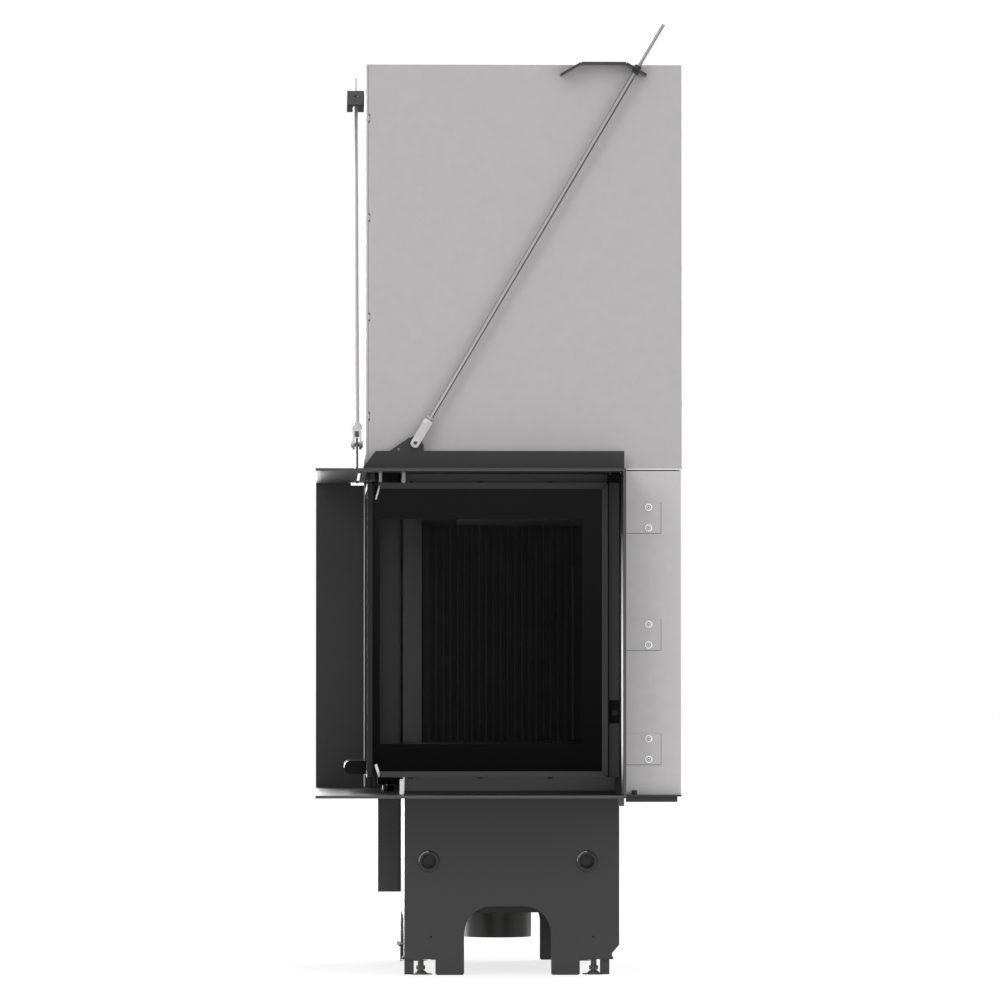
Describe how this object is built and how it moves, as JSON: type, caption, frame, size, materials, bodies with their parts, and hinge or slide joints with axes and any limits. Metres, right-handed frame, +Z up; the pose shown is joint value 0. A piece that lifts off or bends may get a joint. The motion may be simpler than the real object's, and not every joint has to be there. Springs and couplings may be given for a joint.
{
  "type": "corner fireplace insert",
  "caption": "Corner fireplace insert with a lifting L-shaped glass door balanced by hidden counterweights, under a tall braced casing; flue spigot above, air inlet below.",
  "frame": {"origin": "on the floor, in the middle of the overall width and depth", "axes": "+Z up, -Y towards the room in front of the long glass, +X towards the room at the short glass"},
  "size_m": [0.805, 0.6578, 1.7054],
  "materials": {
    "body_steel": "matt heat-proof grey",
    "black_steel": "matt heat-proof black",
    "zinc": "galvanised sheet",
    "bright_steel": "bright turned steel",
    "fastener": "dark zinc",
    "cable": "steel wire",
    "pulley_steel": "turned steel",
    "weight_iron": "raw iron",
    "lining": "dark fire-proof board",
    "rope": "woven glass rope",
    "door_glass": "clear ceramic glass with a dark printed edge",
    "handle_black": "black enamel",
    "foot_steel": "zinc-plated"
  },
  "bodies": {
    "stove": {"base_panel_glass": "body_steel", "base_panel_wall": "body_steel", "base_cross_panels": "body_steel", "base_floor": "body_steel", "air_spigot": "black_steel", "foot_plates": "body_steel", "carry_sockets": "black_steel", "firebox_floor": "body_steel", "firebox_back": "body_steel", "firebox_wall_side": "body_steel", "firebox_top": "body_steel", "flue_spigot": "black_steel", "sill_frame": "body_steel", "header_frame": "body_steel", "seal_ropes": "rope", "lining_back": "lining", "lining_wall": "lining", "hearth_tiles": "lining", "baffle_plate": "lining", "collar_top": "black_steel", "collar_bottom": "black_steel", "collar_rear": "black_steel", "collar_wall": "black_steel", "top_angles": "black_steel", "tie_rods": "bright_steel", "rod_clevises": "bright_steel", "rod_fasteners": "fastener", "rod_brackets": "black_steel", "casing_front": "zinc", "casing_side": "zinc", "casing_inner": "zinc", "casing_top": "zinc", "sheet_screws": "fastener", "rear_cover": "zinc", "cover_tabs": "zinc", "shaft_base": "black_steel", "weight_column": "body_steel", "guide_rails": "bright_steel", "pulley_brackets": "body_steel", "cable_bends": "cable", "cables_door": "cable", "cable_weight_rear": "cable", "cable_weight_front": "cable"},
    "door": {"door_frame_front": "black_steel", "door_frame_side": "black_steel", "glass_front": "door_glass", "glass_side": "door_glass", "door_rails": "black_steel", "door_carriages": "body_steel", "door_handle": "handle_black"},
    "door_latch": {"latch": "fastener"},
    "side_counterweight": {"weight_rear": "weight_iron"},
    "front_counterweight": {"weight_front": "weight_iron"},
    "side_pulley": {"pulley_rear": "pulley_steel"},
    "front_pulley": {"pulley_front": "pulley_steel"},
    "air_control": {"air_slide": "handle_black"},
    "levelling_foot_1": {"foot_front_glass": "foot_steel"},
    "levelling_foot_2": {"foot_rear_glass": "foot_steel"},
    "levelling_foot_3": {"foot_front_wall": "foot_steel"},
    "levelling_foot_4": {"foot_rear_wall": "foot_steel"}
  },
  "joints": [
    {"name": "door_lift", "type": "slide", "parent": "stove", "child": "door", "axis": [0, 0, 1], "range_m": [0, 0.49], "deforming": ["cables_door"]},
    {"name": "side_weight_fall", "type": "slide", "parent": "stove", "child": "side_counterweight", "axis": [0, 0, -1], "range_m": [0, 0.49], "deforming": ["cable_weight_rear"]},
    {"name": "front_weight_fall", "type": "slide", "parent": "stove", "child": "front_counterweight", "axis": [0, 0, -1], "range_m": [0, 0.49], "deforming": ["cable_weight_front"]},
    {"name": "side_pulley_spin", "type": "hinge", "parent": "stove", "child": "side_pulley", "pos_m": [0.283, 0.2378, 1.562], "axis": [1, 0, 0], "range_deg": [-740, 0]},
    {"name": "front_pulley_spin", "type": "hinge", "parent": "stove", "child": "front_pulley", "pos_m": [-0.3723, -0.21055, 1.562], "axis": [1, 0, 0], "range_deg": [-1548, 0]},
    {"name": "latch_turn", "type": "hinge", "parent": "door", "child": "door_latch", "pos_m": [0.2978, 0.2071, 0.471], "axis": [1, 0, 0], "range_deg": [0, 90]},
    {"name": "air_slide_move", "type": "slide", "parent": "stove", "child": "air_control", "axis": [1, 0, 0], "range_m": [0, 0.056]},
    {"name": "foot_1_screw", "type": "slide", "parent": "stove", "child": "levelling_foot_1", "axis": [0, 0, -1], "range_m": [0, 0.025]},
    {"name": "foot_2_screw", "type": "slide", "parent": "stove", "child": "levelling_foot_2", "axis": [0, 0, -1], "range_m": [0, 0.025]},
    {"name": "foot_3_screw", "type": "slide", "parent": "stove", "child": "levelling_foot_3", "axis": [0, 0, -1], "range_m": [0, 0.025]},
    {"name": "foot_4_screw", "type": "slide", "parent": "stove", "child": "levelling_foot_4", "axis": [0, 0, -1], "range_m": [0, 0.025]}
  ],
  "couplings": [
    {"joint": "side_weight_fall", "follows": "door_lift", "ratio": 1},
    {"joint": "front_weight_fall", "follows": "door_lift", "ratio": 1},
    {"joint": "side_pulley_spin", "follows": "door_lift", "rad_per_m": -26.316},
    {"joint": "front_pulley_spin", "follows": "door_lift", "rad_per_m": -55.096}
  ]
}
